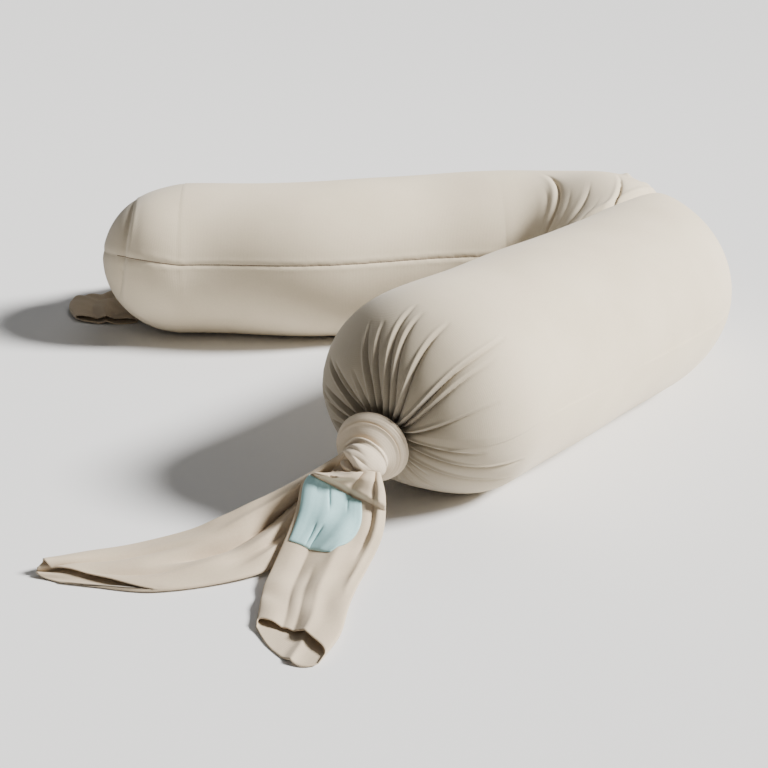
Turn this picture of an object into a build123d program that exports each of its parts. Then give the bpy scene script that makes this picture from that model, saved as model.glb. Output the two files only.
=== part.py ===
"""Tied-end body pillow, lying on the floor bent into a U.

One long tubular jersey cover holds a thin inner bag of polystyrene beads. Each end of the cover
is gathered, knotted and left as two flat tails. The bend is cut into segments that turn about
upright hinge lines on its outer skin, where the cloth keeps its length and the inner side bunches.

Millimetres, +Z up. The origin is on the floor, under the middle of the bend.
"""

import os
from math import atan2, cos, degrees, radians, sin

from build123d import *

# ---- the stuffed tube --------------------------------------------------------------------
half_width = 120.0
half_height = 110.0
centre_height = 102.5  # of the oval section: less than half_height, so the underside is flat
far_scale = 0.93  # the far arm's section at its end, against the near arm's

# ---- the U in plan -----------------------------------------------------------------------
bend_radius = 152.0  # centreline of the bend
bend_turn = 134.0  # degrees from one arm to the other
bend_azimuth = 26.5  # direction from the bend's centre to its middle
near_length = 326.0  # straight part of each arm, from the bend to the end dome's centre
far_length = 417.0

# ---- layers of cloth ---------------------------------------------------------------------
cover_wall = 1.5
bag_wall = 1.0
layer_gap = 0.5
bag_inset = cover_wall + layer_gap
fill_inset = bag_inset + bag_wall + layer_gap

# ---- fold hinges -------------------------------------------------------------------------
hinge_count = 4
hinge_offset = 1.0  # hinge lines stand this far outside the skin
hinge_gap = 0.25  # from the hinge line to each segment's face
hinge_relief = 1.15  # degrees that each face leans away, so the bend can close a little

# ---- knots -------------------------------------------------------------------------------
knot_pitch = 24.0  # degrees below level
front_knot_height = 88.0
rear_knot_height = 80.0
rear_knot_azimuth = 126.0
neck_radius = 17.0
neck_foot_radius = 34.0
neck_length = 26.0
collar_radius = 38.0
collar_bore = 28.0
collar_length = 30.0
collar_rounding = 4.0
collar_start = 3.0
core_radius = 19.0
core_start = 27.0
core_length = 36.0
core_rounding = 12.0
skin_gap = 0.4  # between a knot's pieces and the cover

# ---- tails -------------------------------------------------------------------------------
tail_thickness = 6.0
tail_width = 98.0
tail_root_width = 26.0
tail_flare = 90.0  # length over which a tail opens to its full width
tail_drop = 112.0  # level distance from a tail's root to where it reaches the floor
tail_corner = 22.0
tail_root_gap = 6.0  # from the knot's core to the tail's hinge line
mouth_depth = 11.0  # tails leave the knot this far behind the core's end

# ---- label and seams ---------------------------------------------------------------------
label_width = 66.0
label_length = 74.0
label_thickness = 1.6
label_gap = 0.3
label_from_root = 34.0
seam_width = 5.0
seam_thickness = 1.2
seam_height = 92.0
seam_offset = 1.0  # from the skin to the seam's middle

reach = 2000.0  # larger than the object, for cutting tools


# ---- places worked out from the above ----------------------------------------------------
def direction(azimuth, pitch=0.0):
    """Unit vector at an azimuth from +X, pitched below level, both in degrees."""
    level = cos(radians(pitch))
    return Vector(cos(radians(azimuth)) * level, sin(radians(azimuth)) * level, -sin(radians(pitch)))


up = Vector(0, 0, 1)
bend_centre = direction(bend_azimuth) * -bend_radius
segment_turn = bend_turn / hinge_count
hinge_azimuths = [bend_azimuth + segment_turn * (1.5 - i) for i in range(hinge_count)]
far_start_azimuth = bend_azimuth + bend_turn / 2
near_start_azimuth = bend_azimuth - bend_turn / 2
far_heading = far_start_azimuth + 90
near_heading = near_start_azimuth - 90
far_start = bend_centre + direction(far_start_azimuth) * bend_radius
near_start = bend_centre + direction(near_start_azimuth) * bend_radius
far_end = far_start + direction(far_heading) * far_length
near_end = near_start + direction(near_heading) * near_length
hinge_points = [
    bend_centre + direction(azimuth) * (bend_radius + half_width + hinge_offset)
    for azimuth in hinge_azimuths
]


def upright_plane(foot, across):
    """Upright sketch plane at a floor point: its x runs across the tube, its y runs up."""
    return Plane(origin=foot, x_dir=across, z_dir=across.cross(up))


def section(foot, across, scale, inset, side=0.0, half=False):
    """Oval tube section with a flat underside, at an inset from the skin."""
    with BuildSketch(upright_plane(foot, across)) as oval:
        with Locations((side, centre_height * scale)):
            Ellipse(half_width * scale - inset, half_height * scale - inset)
        low = inset if inset > 0 else 0
        with Locations((0 if half else -reach, low)):
            Rectangle(2 * reach, reach, align=(Align.MIN, Align.MIN), mode=Mode.INTERSECT)
    return oval.sketch


def bend_arc(low_azimuth, high_azimuth, inset):
    """Stretch of the bend between two azimuths about its centre."""
    with BuildPart() as arc:
        add(section(bend_centre, direction(low_azimuth), 1.0, inset, side=bend_radius))
        revolve(axis=Axis(bend_centre, up), revolution_arc=high_azimuth - low_azimuth)
    return arc.part


def end_dome(end, across, scale, inset):
    """Rounded end of an arm: half the oval section turned half a circle about its upright axis."""
    with BuildPart() as dome:
        add(section(end, across, scale, inset, half=True))
        revolve(axis=Axis(end, up), revolution_arc=180)
    return dome.part


def arm(start, heading, length, end_scale, inset, arc):
    """Arm from its share of the bend to its rounded end."""
    across = direction(heading - 90)
    end = start + direction(heading) * length
    dome = end_dome(end, across, end_scale, inset)
    with BuildPart() as whole:
        add(section(start, across, 1.0, inset))
        add(section(end, across, end_scale, inset))
        loft(ruled=True)
        add(dome)
        add(arc)
    return whole.part


def far_arm(inset):
    arc = bend_arc(hinge_azimuths[0], far_start_azimuth, inset)
    return arm(far_start, far_heading, far_length, far_scale, inset, arc)


def near_arm(inset):
    arc = bend_arc(near_start_azimuth, hinge_azimuths[-1], inset)
    return arm(near_start, near_heading, near_length, 1.0, inset, arc)


def bend_segment(index, inset):
    """Segment between a hinge and the next one, counted from the far arm."""
    return bend_arc(hinge_azimuths[index + 1], hinge_azimuths[index], inset)


def hinge_face(index, side):
    """Face of the segment beside a hinge, leaning away from the hinge line towards the inside.

    side is 1 for the segment on the far arm's side of the hinge and -1 for the other. The
    plane's z points into the segment."""
    outward = direction(hinge_azimuths[index])
    into = up.cross(outward) * side
    lean = radians(hinge_relief)
    return Plane(
        origin=hinge_points[index] + into * hinge_gap,
        x_dir=up,
        z_dir=into * cos(lean) + outward * sin(lean),
    )


# ---- stuffed tube: cover, inner bag and bead fill of each segment --------------------------
segments = {
    "far_arm": (far_arm, [hinge_face(0, 1)]),
    "far_bend": (lambda inset: bend_segment(0, inset), [hinge_face(0, -1), hinge_face(1, 1)]),
    "mid_bend": (lambda inset: bend_segment(1, inset), [hinge_face(1, -1), hinge_face(2, 1)]),
    "near_bend": (lambda inset: bend_segment(2, inset), [hinge_face(2, -1), hinge_face(3, 1)]),
    "near_arm": (near_arm, [hinge_face(3, -1)]),
}

os.makedirs("parts", exist_ok=True)
pieces = []


def keep(piece, name):
    """Label a finished piece and write its file."""
    piece.label = name
    export_step(piece, f"parts/{name}.step")
    pieces.append(piece)


for segment_name, (solid_at, faces) in segments.items():
    with BuildPart() as cover:
        add(solid_at(0.0))
        add(solid_at(cover_wall), mode=Mode.SUBTRACT)
        for face in faces:
            split(bisect_by=face, keep=Keep.TOP)
    keep(cover.part, f"cover_{segment_name}")

    with BuildPart() as inner_bag:
        add(solid_at(bag_inset))
        add(solid_at(bag_inset + bag_wall), mode=Mode.SUBTRACT)
        for face in faces:
            split(bisect_by=face, keep=Keep.TOP)
    keep(inner_bag.part, f"inner_bag_{segment_name}")

    with BuildPart() as bead_fill:
        add(solid_at(fill_inset))
        for face in faces:
            split(bisect_by=face, keep=Keep.TOP)
    keep(bead_fill.part, f"bead_fill_{segment_name}")


# ---- knots ---------------------------------------------------------------------------------
def knot_plane(end, azimuth, scale, height):
    """Plane on an end dome's skin, its z along the knot's axis, away from the dome."""
    share = (height - centre_height * scale) / (half_height * scale)
    level = half_width * scale * (1 - share**2) ** 0.5
    foot = end + direction(azimuth) * level + up * height
    return Plane(origin=foot, x_dir=direction(azimuth - 90), z_dir=direction(azimuth, knot_pitch))


knots = {
    "front": (
        knot_plane(near_end, near_heading, 1.0, front_knot_height),
        near_arm(-skin_gap),
    ),
    "rear": (
        knot_plane(far_end, rear_knot_azimuth, far_scale, rear_knot_height),
        far_arm(-skin_gap),
    ),
}

for knot_name, (base, skin) in knots.items():
    with BuildPart() as gathered_neck:
        with BuildSketch(base.offset(-neck_length / 2)) as foot_ring:
            Circle(neck_foot_radius)
        with BuildSketch(base.offset(neck_length / 3)) as waist:
            Circle(neck_radius)
        with BuildSketch(base.offset(neck_length)) as throat:
            Circle(neck_radius)
        loft(ruled=True)
        add(skin, mode=Mode.SUBTRACT)
    keep(gathered_neck.part, f"{knot_name}_gathered_neck")

    with BuildPart() as knot_collar:
        with BuildSketch(base.offset(collar_start)) as ring:
            Circle(collar_radius)
            Circle(collar_bore, mode=Mode.SUBTRACT)
        extrude(amount=collar_length)
        fillet(knot_collar.edges().filter_by(GeomType.CIRCLE).group_by(SortBy.RADIUS)[-1], collar_rounding)
        add(skin, mode=Mode.SUBTRACT)
    keep(knot_collar.part, f"{knot_name}_knot_collar")

    with BuildPart() as knot_core:
        with BuildSketch(base.offset(core_start)) as disc:
            Circle(core_radius)
        extrude(amount=core_length)
        fillet(knot_core.edges().filter_by(GeomType.CIRCLE), core_rounding)
    keep(knot_core.part, f"{knot_name}_knot_core")


# ---- tails: two flat plies of the tube's end, from the knot down to the floor --------------
def knot_mouth(base):
    """Point on the knot's axis that both of its tails start from."""
    return base.origin + base.z_dir * (core_start + core_length - mouth_depth)


def tail_root(base, azimuth):
    """Hinge point of a tail, just outside the knot."""
    return knot_mouth(base) + direction(azimuth) * (core_radius + tail_root_gap)


tails = {  # knot, azimuth, level length, level drop
    "front_left_tail": ("front", 194.0, 255.0, tail_drop),
    "front_right_tail": ("front", 263.0, 202.0, tail_drop),
    "rear_left_tail": ("rear", 205.0, 86.0, 62.0),
    "rear_back_tail": ("rear", 42.0, 228.0, tail_drop),
}

for tail_name, (knot_name, azimuth, length, drop) in tails.items():
    root = tail_root(knots[knot_name][0], azimuth)
    along = direction(azimuth)
    aside = direction(azimuth - 90)
    lying = tail_thickness / 2
    slack = min(tail_flare, length * 0.6)
    with BuildPart() as tail:
        with BuildSketch(upright_plane(Vector(root.X, root.Y, 0), along)):
            with BuildLine() as route:
                FilletPolyline((0, root.Z), (drop, lying), (length, lying), radius=tail_corner)
            trace(line_width=tail_thickness)
        extrude(amount=tail_width / 2, both=True)
        with BuildSketch(Plane(origin=(root.X, root.Y, 0), x_dir=along, z_dir=up)):
            with BuildLine():
                Polyline(
                    (-tail_thickness, -tail_root_width / 2),
                    (slack, -tail_width / 2),
                    (length, -tail_width / 2 + 8),
                    (length - 14, tail_width / 2),
                    (slack, tail_width / 2),
                    (-tail_thickness, tail_root_width / 2),
                    close=True,
                )
            make_face()
        extrude(amount=reach, mode=Mode.INTERSECT)
    keep(tail.part, tail_name)


# ---- woven label, lying on the slope of the front right tail -------------------------------
label_root = tail_root(knots["front"][0], tails["front_right_tail"][1])
label_along = direction(tails["front_right_tail"][1])
slope = degrees(atan2(label_root.Z - tail_thickness / 2, tail_drop))
label_down = direction(tails["front_right_tail"][1], slope)
label_normal = label_down.cross(label_along.cross(up)) * -1
label_plane = Plane(
    origin=label_root
    + label_down * (label_from_root + label_length / 2)
    + label_normal * (tail_thickness / 2 + label_gap),
    x_dir=label_down,
    z_dir=label_normal,
)
with BuildPart() as woven_label:
    with BuildSketch(label_plane):
        RectangleRounded(label_length, label_width, 4)
    extrude(amount=label_thickness)
keep(woven_label.part, "woven_label")


# ---- lengthwise seams, on the inner side of the U ------------------------------------------
for seam_name, start, heading, length, end_scale, side in (
    ("long_seam_far_arm", far_start, far_heading, far_length, far_scale, 1),
    ("long_seam_near_arm", near_start, near_heading, near_length, 1.0, -1),
):
    across = direction(heading + 90) * side
    inner_start = start + across * (half_width + seam_offset)
    inner_end = start + direction(heading) * length + across * (half_width * end_scale + seam_offset)
    run = inner_end - inner_start
    with BuildPart() as long_seam:
        with BuildSketch(Plane(origin=inner_start + up * seam_height, x_dir=run.cross(up), z_dir=run)):
            RectangleRounded(seam_thickness, seam_width, seam_thickness / 3)
        extrude(amount=run.length)
    keep(long_seam.part, seam_name)
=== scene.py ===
"""Looks of the tied-end body pillow: jersey cover with gathered ends, knots, tails and label."""
from math import cos, pi, radians, sin

import bpy
import numpy as np
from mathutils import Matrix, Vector


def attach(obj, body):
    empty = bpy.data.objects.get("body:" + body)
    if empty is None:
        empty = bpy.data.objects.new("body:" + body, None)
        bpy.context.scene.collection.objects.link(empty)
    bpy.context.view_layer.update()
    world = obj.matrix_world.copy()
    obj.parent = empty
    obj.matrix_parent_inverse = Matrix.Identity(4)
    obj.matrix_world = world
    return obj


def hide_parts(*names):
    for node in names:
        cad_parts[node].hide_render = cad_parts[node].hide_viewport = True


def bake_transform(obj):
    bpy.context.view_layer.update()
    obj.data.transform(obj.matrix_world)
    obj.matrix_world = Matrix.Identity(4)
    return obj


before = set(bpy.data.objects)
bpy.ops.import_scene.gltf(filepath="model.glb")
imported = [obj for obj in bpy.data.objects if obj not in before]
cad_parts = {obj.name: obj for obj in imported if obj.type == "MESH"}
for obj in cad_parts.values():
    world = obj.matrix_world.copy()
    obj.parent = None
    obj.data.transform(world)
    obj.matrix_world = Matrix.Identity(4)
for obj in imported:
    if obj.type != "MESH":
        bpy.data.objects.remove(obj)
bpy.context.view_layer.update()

# ---- driving sizes, in metres and degrees, as in the CAD ---------------------------------
HALF_WIDTH = 0.120
HALF_HEIGHT = 0.110
CENTRE_HEIGHT = 0.1025
BEND_RADIUS = 0.152
BEND_TURN = 134.0
BEND_AZIMUTH = 26.5
HINGE_COUNT = 4
NEAR_LENGTH = 0.326
FAR_LENGTH = 0.417
KNOT_PITCH = 24.0
FRONT_KNOT_HEIGHT = 0.088
REAR_KNOT_HEIGHT = 0.080
REAR_KNOT_AZIMUTH = 126.0

# ---- sizes of the looks alone ------------------------------------------------------------
BEND_SCALE = 0.965  # the tube's section where the far arm starts, against the near arm's
FAR_SCALE = 0.945  # the same, along the far arm
REAR_SCALE = 0.905  # the same, at the rear end
FAR_BOW = 0.022  # how far the far arm curves towards the inside of the U
DOME_LENGTH = 0.19  # of cloth from a neck to the full section
NECK_RADIUS = 0.015
COVER_CLOTH = 0.0014  # thickness of the cover, and below of the tails and the label
TAIL_CLOTH = 0.0011
LABEL_CLOTH = 0.0007
FLOOR_SOFTNESS = 0.004  # how gently the underside flattens on the floor

AROUND = 640  # points round the cover
NEAR_ROWS, FAR_ROWS = 90, 110  # rows of points along the two arms
BEND_ROWS = 48  # rows of points from one cut of the bend to the next
FRONT_ROWS, REAR_ROWS = 110, 90  # rows of points over the end domes
UP = np.array([0.0, 0.0, 1.0])


def level(azimuth):
    """Level unit vector at an azimuth from +X, in degrees."""
    return np.array([cos(radians(azimuth)), sin(radians(azimuth)), 0.0])


def unit(v):
    """Vectors of the same directions, one long."""
    return v / np.linalg.norm(v, axis=-1, keepdims=True)


def smooth_step(t):
    """0 below 0, 1 above 1, and a smooth rise between."""
    t = np.clip(t, 0, 1)
    return t * t * (3 - 2 * t)


BEND_LENGTH = radians(BEND_TURN) * BEND_RADIUS
BEND_CENTRE = -level(BEND_AZIMUTH) * BEND_RADIUS
FAR_START_AZIMUTH = BEND_AZIMUTH + BEND_TURN / 2
NEAR_START_AZIMUTH = BEND_AZIMUTH - BEND_TURN / 2
FAR_HEADING = FAR_START_AZIMUTH + 90
NEAR_HEADING = NEAR_START_AZIMUTH - 90
FAR_START = BEND_CENTRE + level(FAR_START_AZIMUTH) * BEND_RADIUS
NEAR_START = BEND_CENTRE + level(NEAR_START_AZIMUTH) * BEND_RADIUS
FAR_END = FAR_START + level(FAR_HEADING) * FAR_LENGTH
NEAR_END = NEAR_START + level(NEAR_HEADING) * NEAR_LENGTH


# ---- mesh building -----------------------------------------------------------------------
def quad_object(name, points, quads, around, along):
    """Object of smooth quads, with cloth coordinates round and along for each quad's corners."""
    mesh = bpy.data.meshes.new(name)
    mesh.vertices.add(len(points))
    mesh.vertices.foreach_set("co", points.astype(np.float32).ravel())
    mesh.loops.add(quads.size)
    mesh.loops.foreach_set("vertex_index", quads.astype(np.int32).ravel())
    mesh.polygons.add(len(quads))
    mesh.polygons.foreach_set("loop_start", np.arange(0, quads.size, 4, dtype=np.int32))
    mesh.update(calc_edges=True)
    mesh.polygons.foreach_set("use_smooth", np.ones(len(quads), bool))
    layer = mesh.uv_layers.new(name="cloth")
    layer.data.foreach_set("uv", np.stack([around, along], -1).astype(np.float32).ravel())
    made = bpy.data.objects.new(name, mesh)
    bpy.context.scene.collection.objects.link(made)
    return made


def along_rows(points):
    """Mean distance along the cloth of each row, for the knit."""
    steps = np.linalg.norm(np.diff(points, axis=0), axis=-1).mean(axis=1)
    return np.concatenate([[0.0], np.cumsum(steps)])


def around_columns(points):
    """Mean distance round the cloth of each column, for the knit."""
    steps = np.linalg.norm(np.diff(points, axis=1), axis=-1).mean(axis=0)
    return np.concatenate([[0.0], np.cumsum(steps)])


def grid_object(name, points, closed=True):
    """Sheet of quads from rows of points. closed joins each row's end to its start."""
    rows, columns = points.shape[:2]
    last = columns if closed else columns - 1
    r, c = np.meshgrid(np.arange(rows - 1), np.arange(last), indexing="ij")
    n = (c + 1) % columns
    quads = np.stack([r * columns + c, r * columns + n, (r + 1) * columns + n, (r + 1) * columns + c], -1)
    around, along = around_columns(points), along_rows(points)
    step = around[1]  # every quad counts as one first step wide, the closing one too
    u = np.stack([around[c], around[c] + step, around[c] + step, around[c]], -1)
    v = np.stack([along[r], along[r], along[r + 1], along[r + 1]], -1)
    made = quad_object(name, points.reshape(-1, 3), quads.reshape(-1, 4), u.reshape(-1, 4), v.reshape(-1, 4))
    made.data.validate()
    return made


def closed_ends(name, points):
    """Grid object whose first and last rings are closed to a point."""
    first = points[:1].mean(axis=1, keepdims=True) + 0 * points[:1]
    last = points[-1:].mean(axis=1, keepdims=True) + 0 * points[-1:]
    made = grid_object(name, np.concatenate([first, points, last]))
    weld = made.modifiers.new("ends", "WELD")
    weld.merge_threshold = 0.00001
    return made


def solidify(piece, thickness):
    """Give a sheet its thickness, inwards."""
    made = piece.modifiers.new("thickness", "SOLIDIFY")
    made.thickness = thickness
    made.offset = -1
    return piece


def smooth_curve(points, count):
    """Catmull-Rom curve through given points, sampled evenly in its own parameter."""
    points = np.array(points, float)
    padded = np.vstack([2 * points[0] - points[1], points, 2 * points[-1] - points[-2]])
    t = np.linspace(0, len(points) - 1 - 1e-9, count)
    i = t.astype(int)
    f = (t - i)[:, None]
    a, b, c, d = (padded[i + k] for k in range(4))
    return 0.5 * (2 * b + (c - a) * f + (2 * a - 5 * b + 4 * c - d) * f**2 + (3 * b - a - 3 * c + d) * f**3)


def crease(distance, width):
    """Profile of a sharp valley with rounded shoulders: 1 at its line, 0 far away."""
    return np.exp(-np.abs(distance) / width)


def wave_noise(u, v, scale, seed, count=14):
    """Gentle lumps, from -1 to 1 or so, with features about scale apart."""
    rng = np.random.default_rng(seed)
    total = np.zeros(np.broadcast(u, v).shape)
    for _ in range(count):
        angle, phase = rng.uniform(0, 2 * pi, 2)
        rate = 2 * pi / scale * rng.uniform(0.6, 1.4)
        total += np.sin((u * cos(angle) + v * sin(angle)) * rate + phase)
    return total / count**0.5


# ---- gathered ends -----------------------------------------------------------------------
class Knot:
    """Where an end dome's cloth is drawn together: its pole on the dome and its own directions.

    end is the dome's centre on the floor, heading the arm's own direction there, azimuth the
    way that the knot points in plan, and height that of the knot's base over the floor.
    """

    def __init__(self, end, heading, azimuth, scale, height):
        self.centre = end + UP * CENTRE_HEIGHT * scale
        self.radii = np.array([HALF_WIDTH, HALF_WIDTH, HALF_HEIGHT]) * scale
        share = (height - CENTRE_HEIGHT * scale) / (HALF_HEIGHT * scale)
        reach = HALF_WIDTH * scale * (1 - share**2) ** 0.5
        self.base = end + level(azimuth) * reach + UP * height
        self.pole = unit((self.base - self.centre) / self.radii)
        self.axis = level(azimuth) * cos(radians(KNOT_PITCH)) - UP * sin(radians(KNOT_PITCH))
        self.aside = unit(np.cross(UP, self.axis))
        self.over = np.cross(self.axis, self.aside)
        self.size = HALF_WIDTH * scale
        self.heading = heading

    def polar(self, points):
        """For points near the dome: bearing round the pole, distance over the cloth, and radius."""
        right = unit(np.cross(UP, self.pole))
        above = np.cross(self.pole, right)
        away = points - self.base
        radius = np.hypot(away @ right, away @ above)
        chord = np.linalg.norm(away, axis=-1) / (2 * self.size)
        return np.arctan2(away @ above, away @ right), 2 * self.size * np.arcsin(np.clip(chord, 0, 1)), radius

    def at(self, forward, right=0.0, above=0.0):
        """Point in the knot's own directions from its base."""
        return self.base + self.axis * forward + self.aside * right + self.over * above


FRONT = Knot(NEAR_END, level(NEAR_HEADING), NEAR_HEADING, 1.0, FRONT_KNOT_HEIGHT)
REAR = Knot(FAR_END, level(FAR_HEADING), REAR_KNOT_AZIMUTH, REAR_SCALE, REAR_KNOT_HEIGHT)
REAR_CREASE_COUNT = 24
FINE_CREASE_COUNT = 30  # short ones right at a knot

# Long creases of the front end, seen from in front: bearing at the knot and at the far end of
# the crease, in degrees up from the right, then reach and depth in millimetres.
FRONT_CREASES = [
    (124, 148, 105, 3.4), (116, 142, 90, 2.2), (97, 124, 70, 2.0), (80, 109, 118, 3.2), (70, 99, 118, 3.4),
    (56, 88, 145, 3.2), (47, 81, 140, 2.8), (38, 66, 145, 3.6), (26, 44, 178, 4.0), (20, 38, 155, 2.4),
    (12, 20, 140, 2.6), (6, -6, 118, 3.0), (-1, -19, 165, 3.8), (-18, -33, 158, 3.4), (-27, -42, 70, 2.0),
    (-35, -58, 92, 3.0), (-49, -75, 88, 3.0), (-64, -92, 78, 2.8), (-80, -108, 72, 3.0), (-97, -125, 66, 2.6),
    (-115, -140, 60, 3.0), (-134, -152, 68, 2.6), (-155, -160, 62, 3.0), (-175, -174, 70, 2.6),
    (165, 172, 78, 3.0), (146, 164, 86, 3.0),
]


def random_creases(seed, count):
    """Creases all round a knot, in the same terms as the front's."""
    rng = np.random.default_rng(seed)
    steps = np.cumsum(rng.uniform(0.6, 1.4, count))
    turns = rng.uniform(-16, 16, count)
    return [
        (360 * s / steps[-1], 360 * s / steps[-1] + turn, rng.uniform(65, 150), rng.uniform(2.0, 3.6))
        for s, turn in zip(steps, turns)
    ]


def pleats(knot, points, creases, seed):
    """How far the gathered cloth stands in or out at points round a knot."""
    bearing, away, radius = knot.polar(points)
    radius = np.maximum(radius, 0.012)
    total = np.zeros_like(bearing)
    bend = 1 - (1 - np.clip((away - 0.03) / 0.1, 0, 1)) ** 2
    for start, end, reach, depth in creases:
        line = radians(start) + radians(end - start) * bend
        across = ((bearing - line + pi) % (2 * pi) - pi) * radius
        fade = np.clip(1 - (away / (reach * 0.001)) ** 2, 0, 1) ** 0.9
        size = depth * 0.001 * fade * np.clip(away / 0.03, 0.35, 1)
        total -= size * (1.7 * crease(across, 0.0012) + 1.3 * crease(across, 0.0065))
        total += size * 0.9 * np.exp(-(((across - 0.0040) / 0.0018) ** 2))
    fine = np.clip(1 - away / 0.06, 0, 1)
    rng = np.random.default_rng(seed)
    for _ in range(FINE_CREASE_COUNT):
        line = rng.uniform(0, 2 * pi)
        across = ((bearing - line + pi) % (2 * pi) - pi) * radius
        total -= 0.0022 * fine * crease(across, 0.0012) * rng.uniform(0.5, 1)
    return total


def settle(points):
    """Flatten whatever would go below the floor."""
    z = points[..., 2]
    points[..., 2] = 0.5 * (z + np.sqrt(z * z + FLOOR_SOFTNESS**2))
    return points


def dome_rings(knot, outer, count, full, tuck):
    """Rings of an end dome, from its neck to the full section, outer being the arm's way out.

    full is how much the shoulder stands out past a ball, and tuck how much less it does so
    towards the underside, as shares of the tube's half width.
    """
    phi = np.linspace(0, 2 * pi, AROUND, endpoint=False)
    rim = outer * np.cos(phi)[:, None] + UP * np.sin(phi)[:, None]
    angle = np.arccos(np.clip(rim @ knot.pole, -1, 1))
    start = NECK_RADIUS / knot.size
    rows = []
    for s in np.linspace(0, 1, count) ** 1.15:
        t = (start + (angle - start) * s) / angle
        parts = np.sin((1 - t) * angle)[:, None] * knot.pole + np.sin(t * angle)[:, None] * rim
        rows.append(parts / np.sin(angle)[:, None])
    u = np.array(rows)
    from_pole = np.arccos(np.clip(u @ knot.pole, -1, 1))
    shoulder = smooth_step(from_pole / 0.8) * smooth_step((u @ knot.heading) / 0.6)
    out = unit(u / knot.radii)
    share = np.where(u[..., 2] > 0, full, full + tuck * u[..., 2])
    return knot.centre + u * knot.radii + out * (share * knot.size * shoulder)[..., None]


# ---- the stuffed tube --------------------------------------------------------------------
# Folds of the bend: azimuth about its centre where the fold is 100 mm out, degrees it drifts for
# each 100 mm further out, how far out it reaches in metres, depth in millimetres, width in metres.
BEND_FOLDS = [
    (60, 40, 0.118, 1.4, 0.0040), (49, 40, 0.156, 5.5, 0.0020), (38, 50, 0.115, 1.4, 0.0040),
    (20, 50, 0.132, 3.0, 0.0026), (5, 60, 0.120, 1.6, 0.0040), (-13, 66, 0.176, 7.0, 0.0022),
    (-24, 55, 0.130, 3.0, 0.0040), (-6, 26, 0.262, 10.0, 0.0075), (-32, 10, 0.105, 2.5, 0.0040),
]
# Puckers on top of the bend: place in metres, half lengths along X and Y, depth in millimetres.
BEND_PUCKERS = [
    (0.034, 0.064, 0.010, 0.005, 6), (0.054, 0.070, 0.007, 0.004, 5), (0.064, 0.028, 0.013, 0.005, 5),
    (0.051, -0.006, 0.012, 0.004, 4), (0.020, 0.040, 0.005, 0.012, -4), (0.048, 0.048, 0.008, 0.008, -4),
]
END_PLEAT = 0.068  # a pleat round the rear end, this far past where its dome starts
BEND_HUMP = (34.0, 24.0, 0.012)  # the bend stands highest here: azimuth, spread and height
SEAM_ANGLE = 166.0  # where the lengthwise seam runs round the section, 180 being innermost


def section_rows(centres, outers, scales):
    """Oval sections across a level path: one row of points for each centre."""
    phi = np.linspace(0, 2 * pi, AROUND, endpoint=False)
    a = HALF_WIDTH * scales[:, None, None]
    out = outers[:, None, :] * np.cos(phi)[None, :, None] * a
    z = (CENTRE_HEIGHT + HALF_HEIGHT * np.sin(phi))[None, :, None] * scales[:, None, None]
    return centres[:, None, :] + out + UP * z


def body_rows():
    """The tube between the two domes, front to rear.

    Gives each row's centre on the floor, way out, scale, distance along the tube from the
    start of the bend, and azimuth about the bend's centre.
    """
    near_share = np.linspace(0, 1, NEAR_ROWS)[:-1, None]
    near_centres = NEAR_END + (NEAR_START - NEAR_END) * near_share
    azimuths = np.linspace(NEAR_START_AZIMUTH, FAR_START_AZIMUTH, HINGE_COUNT * BEND_ROWS + 1)
    ways_out = np.array([level(a) for a in azimuths])
    far_share = np.linspace(0, 1, FAR_ROWS)[1:, None]
    bow = FAR_BOW * np.sin(pi * np.clip((far_share - 0.15) / 0.85, 0, 1)) ** 2
    far_centres = FAR_START + (FAR_END - FAR_START) * far_share - level(FAR_START_AZIMUTH) * bow
    centres = np.vstack([near_centres, BEND_CENTRE + ways_out * BEND_RADIUS, far_centres])
    outers = np.pad(ways_out, ((NEAR_ROWS - 1, FAR_ROWS - 1), (0, 0)), mode="edge")
    turn = np.pad(azimuths, (NEAR_ROWS - 1, FAR_ROWS - 1), mode="edge")
    along = np.concatenate([
        (near_share[:, 0] - 1) * NEAR_LENGTH,
        radians(1) * (azimuths - NEAR_START_AZIMUTH) * BEND_RADIUS,
        BEND_LENGTH + far_share[:, 0] * FAR_LENGTH,
    ])
    places = [0, BEND_LENGTH, BEND_LENGTH + 0.1, BEND_LENGTH + 0.24, BEND_LENGTH + FAR_LENGTH]
    scales = np.interp(along, places, [1, BEND_SCALE, FAR_SCALE, FAR_SCALE, REAR_SCALE])
    smoothing = 12  # rows on either side
    scales = np.pad(scales, smoothing, mode="edge")
    scales = np.convolve(scales, np.ones(2 * smoothing + 1) / (2 * smoothing + 1), mode="valid")
    return centres, outers, scales, along, turn


def bend_relief(rows, along, turn, phi):
    """Hump, folds and puckers of the bend."""
    out_from_bend = BEND_RADIUS + HALF_WIDTH * np.cos(phi)
    beyond_near = np.minimum(along, 0)[:, None]
    beyond_far = np.maximum(along - BEND_LENGTH, 0)[:, None]
    azimuth, spread, height = BEND_HUMP
    hump = height * np.exp(-(((turn - azimuth) / spread) ** 2))
    total = hump[:, None] * np.clip(np.sin(phi), 0, 1) * smooth_step((out_from_bend - 0.06) / 0.1)
    for azimuth, drift, reach, depth, width in BEND_FOLDS:
        line = azimuth + drift * (out_from_bend - 0.1) / 0.1
        across = np.radians(turn[:, None] - line) * out_from_bend + beyond_near + beyond_far
        fade = smooth_step((reach - out_from_bend) / 0.05) * off_the_floor(phi)
        room = np.clip(out_from_bend / 0.09, 0.4, 1)
        valley = crease(across, width * 0.6) + crease(across, width * 2.6)
        total -= depth * 0.0006 * fade * room * valley
        total += depth * 0.00018 * fade * room * np.exp(-(((across - 0.009) / 0.005) ** 2))
    for x, y, long, wide, depth in BEND_PUCKERS:
        spot = ((rows[..., 0] - x) / long) ** 2 + ((rows[..., 1] - y) / wide) ** 2
        total -= depth * 0.001 * np.exp(-spot) * (rows[..., 2] > CENTRE_HEIGHT)
    return total


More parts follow.
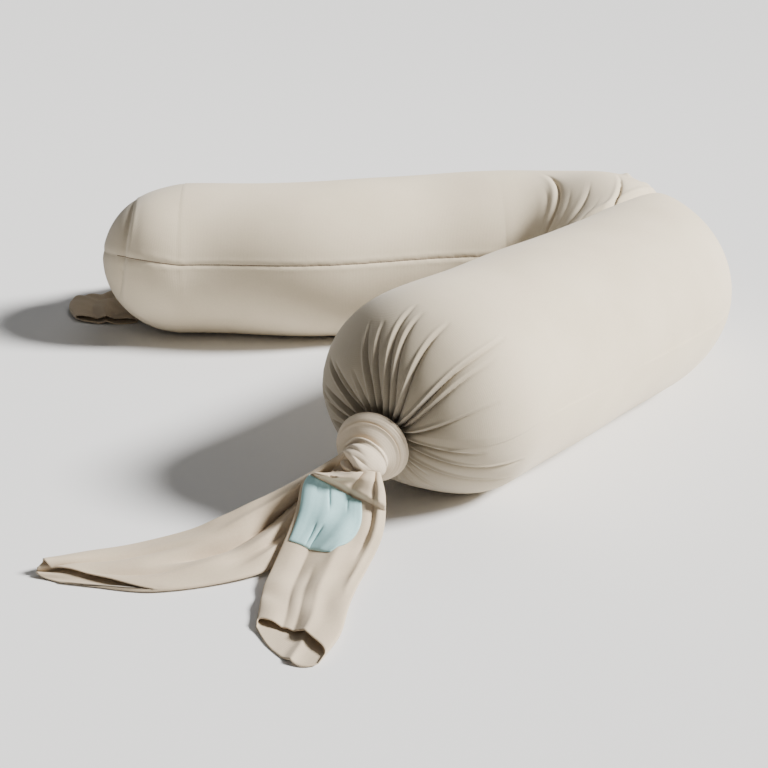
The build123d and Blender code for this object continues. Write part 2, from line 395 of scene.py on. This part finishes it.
def end_pleat_relief(rows):
    """The pleat round the inner side of the rear end."""
    past = (rows - FAR_END) @ level(FAR_HEADING)
    across = past - END_PLEAT - 0.17 * (0.17 - rows[..., 2])
    seen = smooth_step((rows[..., 2] - 0.045) / 0.05) * smooth_step((0.184 - rows[..., 2]) / 0.02)
    seen = seen * smooth_step((0.08 - rows[..., 1]) / 0.05)
    valley = crease(across, 0.002) + 0.8 * crease(across, 0.008)
    return seen * (0.0012 * np.exp(-(((across + 0.007) / 0.004) ** 2)) - 0.0030 * valley)


def seam_relief(along, phi):
    """The lengthwise seam, drawn in by its stitches, with a soft shoulder on either side."""
    across = (phi - radians(SEAM_ANGLE)) * HALF_WIDTH
    ends = smooth_step((along - along[0]) / 0.02) * smooth_step((along[-1] + 0.01 - along) / 0.02)
    pucker = 1 + 0.25 * np.sin(along * 2 * pi / 0.011) + 0.2 * np.sin(along * 2 * pi / 0.037 + 1)
    shoulder = np.exp(-(((np.abs(across) - 0.006) / 0.004) ** 2))
    return (ends * pucker)[:, None] * (0.0004 * shoulder - 0.0015 * crease(across, 0.0022))


def off_the_floor(phi):
    """1 over most of the section, fading to 0 at its underside."""
    return smooth_step((np.sin(phi) + 0.95) / 0.5)


def tube_relief(rows, along, turn):
    """Everything that stands in or out of the plain tube, as distances along each point's normal."""
    phi = np.linspace(0, 2 * pi, AROUND, endpoint=False)[None, :]
    lumps = 0.0011 * wave_noise(phi * HALF_WIDTH, along[:, None], 0.16, 5) * off_the_floor(phi)
    return bend_relief(rows, along, turn, phi) + end_pleat_relief(rows) + lumps + seam_relief(along, phi)


def grid_normals(rows):
    """Outward normals of a closed row grid."""
    across = np.roll(rows, -1, axis=1) - np.roll(rows, 1, axis=1)
    along = np.gradient(rows, axis=0)
    normals = unit(np.cross(across, along))
    middles = rows.mean(axis=1, keepdims=True)
    if ((rows - middles) * normals).sum() < 0:
        normals = -normals
    return normals


def cover_grid():
    """The whole cover as rows of points, from the front neck round to the rear neck."""
    centres, outers, scales, along, turn = body_rows()
    body = section_rows(centres, outers, scales)
    front = dome_rings(FRONT, outers[0], FRONT_ROWS, full=0.055, tuck=0.14)[:-1]
    rear = dome_rings(REAR, outers[-1], REAR_ROWS, full=0.02, tuck=0.02)[:-1][::-1]
    plain = np.vstack([front, body, rear])
    front_along = along[0] - DOME_LENGTH * (1 - np.linspace(0, 1, len(front), endpoint=False))
    rear_along = along[-1] + DOME_LENGTH * np.linspace(0, 1, len(rear) + 1)[1:]
    along = np.concatenate([front_along, along, rear_along])
    turn = np.pad(turn, (len(front), len(rear)), mode="edge")
    relief = tube_relief(plain, along, turn)
    relief += pleats(FRONT, plain, FRONT_CREASES, 2)
    relief += pleats(REAR, plain, random_creases(11, REAR_CREASE_COUNT), 3)
    return settle(plain + grid_normals(plain) * relief[..., None])


def shell(name, first, last):
    """Closed jersey shell of cover rows first to last: outer face, turned edge, inner face."""
    outer, facing = rows[first:last + 1], normals[first:last + 1]
    inner = outer - facing * COVER_CLOTH
    n = len(outer)
    r, c = np.meshgrid(np.arange(2 * n), np.arange(AROUND), indexing="ij")
    r2, c2 = (r + 1) % (2 * n), (c + 1) % AROUND
    quads = np.stack([r * AROUND + c, r2 * AROUND + c, r2 * AROUND + c2, r * AROUND + c2], -1).reshape(-1, 4)
    points = np.concatenate([outer, inner[::-1]]).reshape(-1, 3)
    a, b, d = points[quads[0, 0]], points[quads[0, 1]], points[quads[0, 3]]
    if np.cross(b - a, d - a) @ facing[0, 0] < 0:
        quads = quads[:, ::-1]
    row, column = quads // AROUND, quads % AROUND
    wraps = (column.max(axis=1) == AROUND - 1) & (column.min(axis=1) == 0)
    around = np.where(wraps[:, None] & (column == 0), AROUND, column) * (2 * pi * HALF_WIDTH / AROUND)
    cover_row = np.where(row < n, row, 2 * n - 1 - row) + first
    made = quad_object(name, points, quads, around, lengths[cover_row])
    # Both faces keep the whole cover's own normals, so the joins between shells don't show.
    own = np.concatenate([facing, -facing[::-1]]).reshape(-1, 3)[quads]
    own[(row.max(axis=1) >= n) & (row.min(axis=1) < n)] = 0
    made.data.normals_split_custom_set(own.reshape(-1, 3).astype(np.float32))
    return made


rows = cover_grid()
normals = grid_normals(rows)
lengths = along_rows(rows)
first_cut = FRONT_ROWS - 1 + NEAR_ROWS - 1  # the row where the bend starts
cuts = [0, *(first_cut + BEND_ROWS * k for k in range(HINGE_COUNT + 1)), len(rows) - 1]
BLENDS = {  # the strips of the bend, each with the two bodies that it joins
    "near_fold_outer": ("near_arm", "near_bend"),
    "near_fold_inner": ("near_bend", "mid_bend"),
    "far_fold_inner": ("mid_bend", "far_bend"),
    "far_fold_outer": ("far_bend", "far_arm"),
}
STRIPS = ["near_arm", *BLENDS, "far_arm"]
jersey = {name: shell(f"jersey_{name}", cuts[i], cuts[i + 1]) for i, name in enumerate(STRIPS)}


# ---- knots -------------------------------------------------------------------------------
# Middle line of a knot from its base: forward, aside and over, in metres, with its radius.
KNOT_LINE = [
    (-0.0040, 0.0040, -0.0020, 0.0200), (0.0000, 0.0055, -0.0020, 0.0300), (0.0040, 0.0075, -0.0015, 0.0345),
    (0.0075, 0.0090, -0.0010, 0.0358), (0.0110, 0.0100, -0.0005, 0.0350), (0.0150, 0.0110, 0.0000, 0.0322),
    (0.0190, 0.0118, 0.0003, 0.0280), (0.0225, 0.0125, 0.0004, 0.0240), (0.0260, 0.0130, 0.0005, 0.0228),
    (0.0300, 0.0135, 0.0005, 0.0220), (0.0340, 0.0137, 0.0000, 0.0200), (0.0375, 0.0132, -0.0020, 0.0175),
    (0.0410, 0.0120, -0.0050, 0.0155), (0.0440, 0.0105, -0.0085, 0.0060),
]
WRAP_FACING = (0.870, 0.342, 0.301)  # forward, aside and over parts of the way the wrap faces
THROAT_FACING = (0.855, -0.060, -0.515)
# Folds wound round a knot: place along it, lean to one side, depth and width in millimetres,
# then the middle and the spread of the fold round the knot in radians.
KNOT_FOLDS = [
    (14.6, 0.8, 3.6, 0.5, 1.1, 1.7), (10.8, -0.8, 2.6, 0.5, -0.1, 1.0), (7.6, -0.8, 2.6, 0.5, -0.2, 1.0),
    (4.2, 0.4, 1.6, 0.5, 0.6, 2.0), (22.6, 0.6, 6.0, 0.7, 1.55, 0.9), (26.5, 1.5, 3.4, 1.0, 1.9, 0.60),
    (30.0, 3.0, 4.2, 1.3, 2.1, 0.8), (33.0, 2.0, 2.4, 1.0, 1.0, 0.4), (36.5, 4.5, 7.0, 1.6, 1.6, 1.1),
    (41.0, 3.0, 2.4, 1.1, 1.3, 0.6), (45.0, 5.0, 2.6, 1.3, 2.1, 0.8), (28.0, -5.0, 3.0, 1.4, 4.4, 1.0),
    (36.0, 6.0, 3.0, 1.5, 5.4, 0.9), (20.0, 3.0, 2.4, 1.3, 5.2, 0.8), (48.0, 2.0, 2.4, 1.5, 3.4, 0.9),
]
KNOT_SAMPLES = 600  # points along a knot's line, from which its rings are picked


def knot_relief(forward, turned):
    """How far a knot's cloth stands in or out, in metres."""
    place = forward * 1000
    relief = np.zeros(np.broadcast(place, turned).shape)
    for start, lean, depth, width, middle, spread in KNOT_FOLDS:
        across = place - start - lean * np.cos(turned)
        gap = (turned - middle + pi) % (2 * pi) - pi
        strength = np.exp(-((gap / spread) ** 2))
        relief -= depth * strength * crease(across, width)
        relief += 0.45 * depth * strength * np.exp(-(((across - 2.2 * width - 0.6) / (1.4 * width)) ** 2))
    relief += 0.9 * np.sin(3 * turned + place * 0.11) * smooth_step((place - 20) / 10)
    relief += 0.5 * np.sin(2 * turned + 0.7) * smooth_step((place - 2) / 6)
    return relief * 0.001


def knot_rows(knot, mirror, first, last, count=130, around=220):
    """Rings of a knot between two shares of its line. mirror is -1 for the other hand."""
    line = smooth_curve(KNOT_LINE, KNOT_SAMPLES)
    line = line[int(first * (KNOT_SAMPLES - 1)):int(last * (KNOT_SAMPLES - 1)) + 1]
    line = line[np.linspace(0, len(line) - 1, count).astype(int)]
    forward, aside, over, radius = (column[:, None] for column in line.T)
    middle = knot.at(forward, aside * mirror, over)
    wrap, throat = (
        knot.axis * f + knot.aside * a * mirror + knot.over * o for f, a, o in (WRAP_FACING, THROAT_FACING)
    )
    turned_by = smooth_step((forward - 0.018) / 0.026)
    tangent = unit(wrap * (1 - turned_by) + throat * turned_by)
    side = unit(knot.aside - tangent * (tangent @ knot.aside)[:, None])
    top = unit(np.cross(side, tangent))
    top = np.where((top @ knot.over)[:, None] < 0, -top, top)
    theta = np.linspace(0, 2 * pi, around, endpoint=False)[None, :]
    size = radius + knot_relief(forward, theta if mirror > 0 else pi - theta)
    sideways, upwards = (np.cos(theta) * size)[..., None], (np.sin(theta) * size)[..., None]
    return middle[:, None, :] + side[:, None, :] * sideways + top[:, None, :] * upwards


knots = {}
for end, knot, mirror in (("front", FRONT, 1), ("rear", REAR, -1)):
    knots[f"{end}_wrap"] = closed_ends(f"{end}_knot_wrap", knot_rows(knot, mirror, 0.0, 0.62))
    knots[f"{end}_twist"] = closed_ends(f"{end}_knot_twist", knot_rows(knot, mirror, 0.60, 1.0, count=80))


# ---- tails -------------------------------------------------------------------------------
LOWEST = 0.0012  # of a tail's lower ply over the floor
PLY_GAP = 0.0009  # between the plies where they lie flat


def cut_back(share, upper, setback):
    """How far short of the full length each point of a tail's mouth ends, as shares of the length."""
    first, between, second = setback
    short = first * (1 - share) + second * share + between * np.sin(pi * share) ** 0.6
    corners = 0.05 * (np.abs(2 * share - 1) ** 3)
    return (corners + np.where(upper, short, 0))[None, :]


def fold_offsets(share, along, folds, flap, seed):
    """How far a tail's folds, waves and flap lift its cloth off the plain strip, in metres."""
    offset = np.zeros(along.shape)
    for place, drift, depth, spread, begin, finish in folds:
        gap = share - place - drift * (along - 0.5)
        fade = smooth_step((along - begin) / 0.12) * smooth_step((finish - along) / 0.15)
        valley = 0.5 * crease(gap, spread * 0.5) + 0.5 * np.exp(-((gap / spread) ** 2))
        offset -= depth * 0.001 * fade * valley
    offset += 0.0010 * wave_noise(share * 0.09, along * 0.26, 0.045, seed)
    if flap:
        near_first, near_second, height = flap
        edge = near_first + (near_second - near_first) * share
        offset += 0.001 * height * smooth_step((edge - along) / 0.02) * smooth_step((along + 0.02) / 0.1)
    return offset


def edge_at(rail, index):
    """Points of an edge at fractional indexes."""
    low = index.astype(int)
    part = (index - low)[..., None]
    return rail[low] * (1 - part) + rail[low + 1] * part


def tail_rows(rails, folds, loft, setback=(0, 0, 0), flap=None, count=150, across=70, seed=1):
    """A flattened tube of cloth between two edges: two plies, joined along both edges.

    folds are (share across, drift, depth in mm, width share, start, end) valleys and, with a
    negative depth, ridges, shared by both plies. loft is half the gap between the plies, in
    metres. setback is how far short of the lower ply the upper one ends, as shares of the
    length: at the first edge, between the edges and at the second edge.
    flap is (share along at one edge, at the other, height in mm): the cloth nearer the knot
    stands over the rest.
    """
    first_edge, second_edge = (smooth_curve(rail, count) for rail in rails)
    share = 0.5 - 0.5 * np.cos(np.linspace(0, 2 * pi, 2 * across, endpoint=False))
    upper = np.arange(2 * across) < across
    t = np.linspace(0, 1, count)[:, None]
    t = t - smooth_step((t - 0.7) / 0.3) * cut_back(share, upper, setback)
    index = np.clip(t * (count - 1), 0, count - 1.0001)
    first_edge, second_edge = edge_at(first_edge, index), edge_at(second_edge, index)
    points = first_edge * (1 - share[:, None]) + second_edge * share[:, None]
    normal = unit(np.cross(second_edge - first_edge, np.gradient(points, axis=0)))
    normal = unit(np.where(normal[..., 2:] < 0, -normal, normal) + 1e-6)
    ply = loft * np.sqrt(np.clip(4 * share * (1 - share), 0, 1)) * (0.75 + 0.25 * np.sin(9 * t + 6 * share))
    ply = ply * (1 + 2.2 * np.exp(-((t / 0.10) ** 2)))  # fullest where it leaves the knot
    offset = fold_offsets(share[None, :], t, folds, flap, seed) + np.where(upper, 1, -1) * ply
    points = points + normal * offset[..., None]
    z = points[..., 2] - LOWEST
    points[..., 2] = LOWEST + 0.5 * (z + np.sqrt(z * z + 0.0018**2)) + np.where(upper, PLY_GAP, 0)
    return points


def mm(*places):
    """Places given in millimetres, in metres."""
    return [tuple(v / 1000 for v in place) for place in places]


TAILS = {
    "front_left": tail_rows(
        (mm((-326, -524, 84), (-344, -530, 76), (-374, -537, 60), (-411, -545, 43), (-445, -556, 31),
            (-477, -565, 21), (-538, -578, 10), (-590, -598, 12), (-613, -612, 12)),
         mm((-314, -538, 77), (-336, -550, 62), (-354, -556, 40), (-374, -575, 16), (-400, -608, 5),
            (-440, -628, 3), (-500, -641, 2), (-556, -632, 2), (-606, -622, 3))),
        [(0.45, 0.35, 13, 0.10, 0.08, 0.75), (0.22, 0.2, -4, 0.08, 0.12, 0.6),
         (0.72, -0.2, 5, 0.09, 0.35, 0.9), (0.66, 0.3, -6, 0.10, 0.2, 0.8), (0.3, 0.0, 4, 0.07, 0.6, 1.2),
         (0.85, 0.1, -4, 0.06, 0.1, 0.6), (0.40, 0.9, 4, 0.04, -0.2, 0.24),
         (0.75, 0.9, 4, 0.04, -0.2, 0.24), (0.12, 0.6, 3, 0.04, 0.02, 0.3)],
        0.0045, setback=(0.0, 0.0, 0.20), seed=4,
    ),
    "front_right": tail_rows(
        (mm((-336, -546, 73), (-368, -547, 66), (-377, -573, 42), (-392, -606, 14), (-401, -640, 5),
            (-402, -672, 4), (-403, -714, 4)),
         mm((-300, -546, 70), (-295, -561, 50), (-298, -584, 26), (-312, -615, 8), (-325, -660, 4),
            (-334, -716, 4), (-356, -768, 4))),
        [(0.30, 0.10, 4, 0.10, 0.30, 1.2), (0.55, -0.1, 5, 0.08, -0.2, 0.35),
         (0.84, -0.1, 4, 0.05, -0.2, 0.50), (0.62, 0.1, -4, 0.10, 0.3, 1.2),
         (0.92, 0.0, -3, 0.05, 0.0, 0.7), (0.45, 0.1, 3, 0.07, 0.5, 1.2)],
        0.0045, setback=(0.02, 0.09, 0.03), flap=(0.130, 0.225, 7), seed=7,
    ),
    "rear_left": tail_rows(
        (mm((-660, 186, 58), (-674, 172, 26), (-698, 160, 9), (-726, 156, 7), (-743, 140, 7), (-738, 98, 6),
            (-716, 56, 6)),
         mm((-652, 165, 52), (-648, 145, 26), (-642, 122, 8), (-638, 104, 4), (-636, 86, 4), (-636, 70, 4),
            (-638, 53, 4))),
        [(0.3, 0.1, 4, 0.12, 0.1, 1.2), (0.7, -0.1, 4, 0.10, 0.1, 1.0), (0.5, 0.0, -3, 0.1, 0.2, 1.2)],
        0.0045, setback=(0.0, 0.04, 0.0), seed=9,
    ),
    "rear_back": tail_rows(
        (mm((-640, 196, 62), (-630, 240, 30), (-598, 278, 8), (-560, 312, 4), (-520, 344, 4),
            (-496, 366, 4)),
         mm((-618, 184, 56), (-592, 204, 28), (-545, 236, 6), (-505, 268, 4), (-470, 298, 4),
            (-440, 316, 4))),
        [(0.35, 0.1, 5, 0.12, -0.2, 0.9), (0.7, -0.1, 4, 0.10, 0.1, 1.2), (0.5, 0.0, -3, 0.1, 0.3, 1.2)],
        0.0030, seed=12,
    ),
}
tails = {
    name: solidify(grid_object(f"{name}_tail_cloth", points), TAIL_CLOTH) for name, points in TAILS.items()
}


# ---- woven label -------------------------------------------------------------------------
# The patch's corners on the front right tail, as shares along it and across its upper ply.
LABEL_CORNERS = ((0.150, 0.02), (0.215, 0.72), (0.463, 0.56), (0.432, 0.05))
LABEL_GAP = 0.0012  # between the tail and the patch's underside
# Puckers of the patch: share across, lean, start, end and depth in millimetres.
LABEL_PUCKERS = [
    (0.42, 0.10, -0.1, 0.45, 2.6), (0.33, 0.02, 0.62, 1.1, 2.2), (0.52, -0.05, 0.60, 1.1, 2.4),
    (0.20, 0.10, -0.1, 0.30, 1.4), (0.75, 0.05, -0.1, 0.35, 1.4),
]
LABEL_EASINGS = 30  # passes that take the tail's finest folds out of the patch


def places_on_ply(tail, along, across):
    """Points of a tail's upper ply, at shares along it and across it."""
    columns = tail.shape[1] // 2
    share = 0.5 - 0.5 * np.cos(np.linspace(0, 2 * pi, 2 * columns, endpoint=False)[:columns])
    row = np.clip(along * (len(tail) - 1), 0, len(tail) - 1.001)
    column = np.clip(np.interp(across, share, np.arange(columns)), 0, columns - 1.001)
    i, j = row.astype(int), column.astype(int)
    f, g = (row - i)[..., None], (column - j)[..., None]
    return (tail[i, j] * (1 - g) + tail[i, j + 1] * g) * (1 - f) + (
        tail[i + 1, j] * (1 - g) + tail[i + 1, j + 1] * g) * f


def label_rows(count=70):
    """Patch of weave sewn on the upper ply of the front right tail, puckered by its stitches."""
    corners = np.array(LABEL_CORNERS)
    u = np.linspace(0, 1, count)[None, :, None]
    v = np.linspace(0, 1, count)[:, None, None]
    place = (corners[0] * (1 - u) + corners[1] * u) * (1 - v) + (corners[3] * (1 - u) + corners[2] * u) * v
    u, v = u[..., 0], v[..., 0]
    bulge = u * np.sin(pi * v)  # of the side that is away from the left tail
    points = places_on_ply(TAILS["front_right"], place[..., 0] + 0.020 * bulge, place[..., 1] + 0.090 * bulge)
    for _ in range(LABEL_EASINGS):
        points[1:-1, 1:-1] = (points[2:, 1:-1] + points[:-2, 1:-1] + points[1:-1, 2:] + points[1:-1, :-2]) / 4
    normal = unit(np.cross(np.gradient(points, axis=1), np.gradient(points, axis=0)))
    normal = np.where(normal[..., 2:] < 0, -normal, normal)
    inside = (16 * u * (1 - u) * v * (1 - v)) ** 0.4  # 0 at the stitched edges
    height = 0.0030 * inside + 0.0008 * np.sin(2 * pi * (2.6 * u + 0.3 * v)) * inside
    for middle, lean, begin, finish, depth in LABEL_PUCKERS:
        fade = smooth_step((v - begin) / 0.12) * smooth_step((finish - v) / 0.2)
        height = height - depth * 0.001 * inside * fade * crease(u - middle - lean * v, 0.022)
    return points + normal * (height + LABEL_GAP)[..., None]


label = solidify(grid_object("woven_label_patch", label_rows(), closed=False), LABEL_CLOTH)


# ---- seam threads ------------------------------------------------------------------------
THREAD_RADIUS = 0.0007
THREAD_STEP = 0.0009  # from one ring of points to the next
STITCH = 0.0035


def thread(name, first, last):
    """Row of stitches lying in the lengthwise seam between two rows of the cover."""
    column = int(round(SEAM_ANGLE / 360 * AROUND))
    facing = normals[first:last, column]
    path = rows[first:last, column] + facing * 0.0001
    length = np.concatenate([[0.0], np.cumsum(np.linalg.norm(np.diff(path, axis=0), axis=1))])
    places = np.arange(0, length[-1], THREAD_STEP)
    path, facing = (
        np.stack([np.interp(places, length, line[:, k]) for k in range(3)], -1) for line in (path, facing)
    )
    side = unit(np.cross(facing, unit(np.gradient(path, axis=0))))
    angle = np.linspace(0, 2 * pi, 8, endpoint=False)[None, :, None]
    lift = (0.00045 * np.abs(np.sin(pi * places / STITCH)) ** 0.7 - 0.0002)[:, None, None]
    height = np.sin(angle) * THREAD_RADIUS * 0.7 + lift
    ring = side[:, None] * np.cos(angle) * THREAD_RADIUS + facing[:, None] * height
    return closed_ends(name, path[:, None] + ring)


DOME_ROWS_UNSEWN = 60  # over the rear dome, where the seam can't be seen
threads = {
    "near_arm": thread("near_arm_seam_thread", FRONT_ROWS + 3, cuts[1] - 2),
    "far_arm": thread("far_arm_seam_thread", cuts[-2] + 2, len(rows) - DOME_ROWS_UNSEWN),
}


# ---- finishes ----------------------------------------------------------------------------
# A light and a dark tone for each cloth, the rates of its ribs round it and along it, and how
# high they stand, in metres.
JERSEY_TONES = (0.780, 0.668, 0.492), (0.705, 0.596, 0.430)
# The knots are the same jersey in darker tones: painted shade.
SHADED_KNOT_TONES = (0.670, 0.562, 0.424), (0.580, 0.482, 0.354)
# The tails are the same jersey in darker tones still: painted shade.
SHADED_TAIL_TONES = (0.585, 0.478, 0.345), (0.495, 0.398, 0.282)
LABEL_TONES = (0.420, 0.665, 0.675), (0.340, 0.575, 0.590)
THREAD_TONES = (0.300, 0.235, 0.170), (0.220, 0.170, 0.125)
JERSEY_RIBS, JERSEY_HEIGHT = (210.0, 170.0), 0.00012
LABEL_RIBS, LABEL_HEIGHT = (420.0, 420.0), 0.00008
THREAD_RIBS, THREAD_HEIGHT = (600.0, 600.0), 0.00005


def add(tree, kind, inputs=None, **settings):
    """New node in a tree, with its settings and its inputs' values."""
    node = tree.nodes.new(kind)
    for key, value in settings.items():
        setattr(node, key, value)
    for key, value in (inputs or {}).items():
        node.inputs[key].default_value = value
    return node


def mottled_tone(tree, place, fleck, light, dark):
    """A tone between the two, in soft patches with fine flecks."""
    link = tree.links.new
    mottle = add(tree, "ShaderNodeTexNoise", {"Scale": 14, "Detail": 5})
    link(place.outputs["Object"], mottle.inputs["Vector"])
    both = add(tree, "ShaderNodeMath", {1: 0.45}, operation="MULTIPLY_ADD")
    link(fleck.outputs["Fac"], both.inputs[0])
    link(mottle.outputs["Fac"], both.inputs[2])
    ramp = add(tree, "ShaderNodeMapRange", {"From Min": 0.45, "From Max": 0.95})
    link(both.outputs[0], ramp.inputs["Value"])
    mix = add(tree, "ShaderNodeMix", {"A": (*dark, 1), "B": (*light, 1)}, data_type="RGBA")
    link(ramp.outputs["Result"], mix.inputs["Factor"])
    return mix.outputs["Result"]


def painted_shade_round(tree, place, tone, spot):
    """The tone, darkened round a spot as painted shade of the gathered end there."""
    link = tree.links.new
    away = add(tree, "ShaderNodeVectorMath", {1: tuple(spot)}, operation="DISTANCE")
    link(place.outputs["Object"], away.inputs[0])
    fading = add(
        tree, "ShaderNodeMapRange", {"From Min": 0.045, "From Max": 0.215, "To Min": 0.38, "To Max": 1.0},
        interpolation_type="SMOOTHSTEP")
    link(away.outputs["Value"], fading.inputs["Value"])
    deeper = add(tree, "ShaderNodeVectorMath", operation="SCALE")
    link(tone, deeper.inputs[0])
    link(fading.outputs["Result"], deeper.inputs["Scale"])
    return deeper.outputs["Vector"]


def rib_normal(tree, fleck, ribs, height):
    """Bumped normal of ribs both ways along the cloth's coordinates, with a little fuzz."""
    link = tree.links.new
    uv = add(tree, "ShaderNodeUVMap", uv_map="cloth")
    waves = []
    for direction, rate in zip("XY", ribs):
        wave = add(
            tree, "ShaderNodeTexWave", {"Scale": rate, "Distortion": 0.6, "Detail": 1},
            bands_direction=direction)
        link(uv.outputs["UV"], wave.inputs["Vector"])
        waves.append(wave.outputs["Fac"])
    crossed = add(tree, "ShaderNodeMath", {1: 1.0}, operation="MULTIPLY_ADD")
    link(waves[0], crossed.inputs[0])
    link(waves[1], crossed.inputs[2])
    fuzzy = add(tree, "ShaderNodeMath", {1: 1.4}, operation="MULTIPLY_ADD")
    link(fleck.outputs["Fac"], fuzzy.inputs[0])
    link(crossed.outputs[0], fuzzy.inputs[2])
    relief = add(tree, "ShaderNodeBump", {"Strength": 0.35, "Distance": height})
    link(fuzzy.outputs[0], relief.inputs["Height"])
    return relief.outputs["Normal"]


def cloth_material(name, tones, ribs, height, roughness, sheen, shade_spots=()):
    """Knitted or woven cloth. Round each place given last, its tone is darkened as painted shade."""
    material = bpy.data.materials.new(name)
    material.use_nodes = True
    tree = material.node_tree
    link = tree.links.new
    shader = tree.nodes["Principled BSDF"]
    shader.inputs["Roughness"].default_value = roughness
    shader.inputs["Sheen Weight"].default_value = sheen
    shader.inputs["Sheen Roughness"].default_value = 0.6
    shader.inputs["Specular IOR Level"].default_value = 0.15
    place = add(tree, "ShaderNodeTexCoord")
    fleck = add(tree, "ShaderNodeTexNoise", {"Scale": 420, "Detail": 3})
    link(place.outputs["Object"], fleck.inputs["Vector"])
    tone = mottled_tone(tree, place, fleck, *tones)
    # Painted shade: the tone darkens towards each of these places.
    for spot in shade_spots:
        tone = painted_shade_round(tree, place, tone, spot)
    link(tone, shader.inputs["Base Color"])
    link(rib_normal(tree, fleck, ribs, height), shader.inputs["Normal"])
    return material


# The jersey is darkened round both knots, as painted shade of the gathered ends.
jersey_cloth = cloth_material(
    "beige jersey", JERSEY_TONES, JERSEY_RIBS, JERSEY_HEIGHT, 0.88, 0.20, shade_spots=(FRONT.base, REAR.base))
# Knots: the jersey darker, as painted shade.
knot_cloth = cloth_material("beige jersey knots", SHADED_KNOT_TONES, JERSEY_RIBS, JERSEY_HEIGHT, 0.88, 0.20)
# Tails: the jersey darker, as painted shade.
tail_cloth = cloth_material("beige jersey tails", SHADED_TAIL_TONES, JERSEY_RIBS, JERSEY_HEIGHT, 0.90, 0.15)
label_weave = cloth_material("pale teal weave", LABEL_TONES, LABEL_RIBS, LABEL_HEIGHT, 0.70, 0.10)
thread_finish = cloth_material("seam thread", THREAD_TONES, THREAD_RIBS, THREAD_HEIGHT, 0.80, 0.0)


def dress(piece, material):
    """Give a piece its material."""
    piece.data.materials.clear()
    piece.data.materials.append(material)


for piece in jersey.values():
    dress(piece, jersey_cloth)
for piece in knots.values():
    dress(piece, knot_cloth)
for piece in tails.values():
    dress(piece, tail_cloth)
dress(label, label_weave)
for piece in threads.values():
    dress(piece, thread_finish)

# ---- what each piece follows and stands for ----------------------------------------------
SEGMENTS = {  # the CAD's segment that each piece of the cover stands for
    "near_arm": "near_arm", "near_fold_outer": "near_bend", "far_fold_inner": "mid_bend",
    "far_fold_outer": "far_bend", "far_arm": "far_arm",
}

for number, (name, piece) in enumerate(jersey.items()):
    if name in BLENDS:
        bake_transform(piece)
    else:
        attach(piece, name)
for name, segment in SEGMENTS.items():
    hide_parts(*[f"{layer}_{segment}" for layer in ("cover", "inner_bag", "bead_fill")])
for end, arm in (("front", "near_arm"), ("rear", "far_arm")):
    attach(knots[f"{end}_wrap"], arm)
    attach(knots[f"{end}_twist"], arm)
    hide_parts(f"{end}_knot_collar", f"{end}_gathered_neck")
    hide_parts(f"{end}_knot_core")
for arm, piece in threads.items():
    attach(piece, arm)
    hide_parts(f"long_seam_{arm}")
for name, piece in tails.items():
    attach(piece, f"{name}_tail")
    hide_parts(f"{name}_tail")
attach(label, "front_right_tail")
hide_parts("woven_label")

# ---- floor, light and camera -------------------------------------------------------------
FLOOR_TONE = (0.80, 0.80, 0.80, 1)
SKY_STRENGTH = 0.11
CAMERA_PLACE = (-0.2956, -1.6350, 0.6149)
CAMERA_TILT = 22.61  # degrees below level
CAMERA_LENS = 60.94  # millimetres, on a sensor 36 wide


def put(name, data, place=(0, 0, 0), looking=None):
    """Object in the scene for a light, camera or mesh, turned to face along a direction."""
    made = bpy.data.objects.new(name, data)
    bpy.context.scene.collection.objects.link(made)
    made.location = place
    if looking is not None:
        made.rotation_euler = Vector(looking).to_track_quat("-Z", "Y").to_euler()
    return made


def pale_floor():
    """Floor under the pillow, for the picture alone."""
    mesh = bpy.data.meshes.new("floor")
    mesh.from_pydata([(-6, -4, 0), (6, -4, 0), (6, 9, 0), (-6, 9, 0)], [], [(0, 1, 2, 3)])
    finish = bpy.data.materials.new("floor")
    finish.use_nodes = True
    shader = finish.node_tree.nodes["Principled BSDF"]
    shader.inputs["Base Color"].default_value = FLOOR_TONE
    shader.inputs["Roughness"].default_value = 0.9
    mesh.materials.append(finish)
    put("floor", mesh)


def key_light():
    """Sun from the right, which leaves the front end in shade."""
    sun = bpy.data.lights.new("key", "SUN")
    sun.energy = 10.5
    sun.angle = radians(14)
    sun.color = (1.0, 0.985, 0.96)
    put("key", sun, looking=(-2.0, 0.15, -1.45))


def soft_light(name, place, target, size, power, colour):
    """Square light at a place, shining at a target."""
    data = bpy.data.lights.new(name, "AREA")
    data.size = size
    data.energy = power
    data.color = colour
    put(name, data, place, Vector(target) - Vector(place))


def sky():
    """Even light from all round."""
    world = bpy.data.worlds.new("studio")
    world.use_nodes = True
    background = world.node_tree.nodes["Background"]
    background.inputs["Color"].default_value = (1.0, 1.0, 1.0, 1)
    background.inputs["Strength"].default_value = SKY_STRENGTH
    bpy.context.scene.world = world


def main_camera():
    """Camera in front of the knot, looking a little down."""
    data = bpy.data.cameras.new("camera")
    data.lens = CAMERA_LENS
    data.sensor_width = 36
    camera = put("camera", data, CAMERA_PLACE)
    camera.rotation_euler = (radians(90 - CAMERA_TILT), 0, 0)
    bpy.context.scene.camera = camera


pale_floor()
key_light()
soft_light("fill", (-0.6, -1.9, 1.9), (-0.4, -0.2, 0.1), 1.8, 1, (1.0, 0.99, 0.98))
soft_light("top", (0.1, 0.9, 2.2), (-0.2, 0.0, 0.1), 1.4, 9, (1.0, 0.99, 0.97))
sky()
main_camera()
